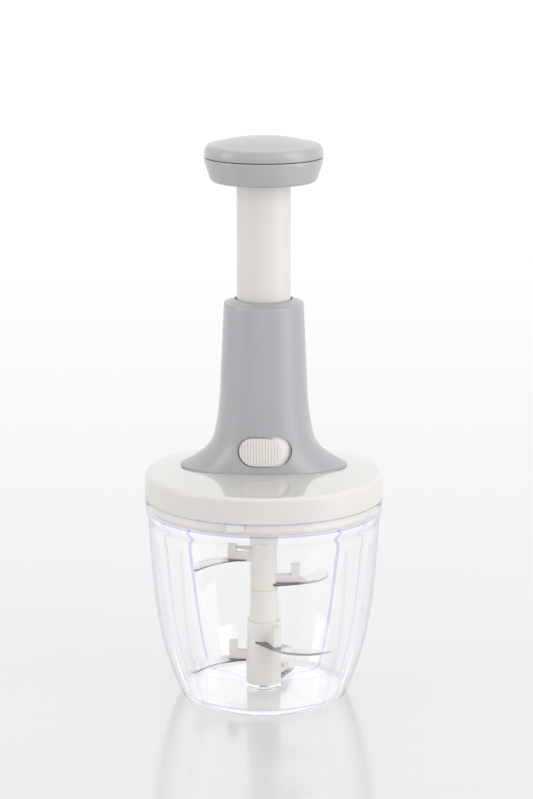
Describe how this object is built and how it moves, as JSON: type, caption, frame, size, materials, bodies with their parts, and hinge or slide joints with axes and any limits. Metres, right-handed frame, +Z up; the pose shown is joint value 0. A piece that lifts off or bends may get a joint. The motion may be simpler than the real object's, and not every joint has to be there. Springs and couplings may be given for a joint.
{
  "type": "press food chopper",
  "caption": "Palm-press food chopper: clear fluted bowl with keyed lift-off lid, trumpet housing, spring-return plunger and screw-driven sickle-blade column.",
  "frame": {"origin": "centre of the bowl's foot, on the surface that it stands on", "axes": "+Z up along the plunger and the blade column; -Y is the front, where the lock slider is; +X is to the user's right"},
  "size_m": [0.142, 0.142, 0.334],
  "materials": {
    "clear_plastic": "clear glossy plastic",
    "cream_plastic": "glossy",
    "grey_plastic": "glossy",
    "white_plastic": "satin",
    "silicone": "satin",
    "blade_steel": "ground",
    "fastener_steel": "plain"
  },
  "bodies": {
    "bowl": {"bowl": "clear_plastic", "spindle_pin": "fastener_steel"},
    "blade_unit": {"lower_blade_hub": "cream_plastic", "upper_blade_hub": "cream_plastic", "blade_1": "blade_steel", "blade_2": "blade_steel", "blade_3": "blade_steel", "blade_4": "blade_steel", "blade_5": "blade_steel"},
    "lid": {"lid_cover": "cream_plastic", "lid_base": "cream_plastic", "seal_ring": "silicone", "lid_screws": "fastener_steel", "housing": "grey_plastic", "bearing_plate": "white_plastic", "housing_screws": "fastener_steel", "guide_sleeve": "white_plastic", "guide_bush": "grey_plastic", "return_spring": "fastener_steel"},
    "plunger": {"plunger_tube": "cream_plastic", "drive_nut": "white_plastic", "nut_screws": "fastener_steel", "knob_base": "grey_plastic", "knob_cap": "grey_plastic", "knob_screws": "fastener_steel"},
    "drive_rod": {"twist_rod": "white_plastic", "thrust_washer": "fastener_steel", "clutch_driver": "white_plastic", "driver_screw": "fastener_steel"},
    "coupler": {"drive_coupler": "cream_plastic"},
    "lock": {"lock_slider": "cream_plastic"}
  },
  "joints": [
    {"name": "lid_lift", "type": "slide", "parent": "bowl", "child": "lid", "axis": [0, 0, 1], "range_m": [0, 0.14]},
    {"name": "plunger_slide", "type": "slide", "parent": "lid", "child": "plunger", "axis": [0, 0, 1], "range_m": [-0.066, 0], "stiffness_N_per_m": 120, "springref_m": 0.06, "deforming": ["return_spring"]},
    {"name": "rod_turn", "type": "hinge", "parent": "lid", "child": "drive_rod", "pos_m": [0, 0, 0.142], "axis": [0, 0, 1], "continuous": true},
    {"name": "coupler_turn", "type": "hinge", "parent": "lid", "child": "coupler", "pos_m": [0, 0, 0.117], "axis": [0, 0, 1], "continuous": true},
    {"name": "blade_turn", "type": "hinge", "parent": "bowl", "child": "blade_unit", "pos_m": [0, 0, 0.006], "axis": [0, 0, 1], "continuous": true},
    {"name": "lock_turn", "type": "hinge", "parent": "lid", "child": "lock", "pos_m": [0, 0, 0.155], "axis": [0, 0, 1], "range_deg": [0, 13]}
  ],
  "couplings": [
    {"joint": "rod_turn", "follows": "plunger_slide", "rad_per_m": 190.4},
    {"joint": "coupler_turn", "follows": "plunger_slide", "rad_per_m": 190.4},
    {"joint": "blade_turn", "follows": "plunger_slide", "rad_per_m": 190.4}
  ]
}
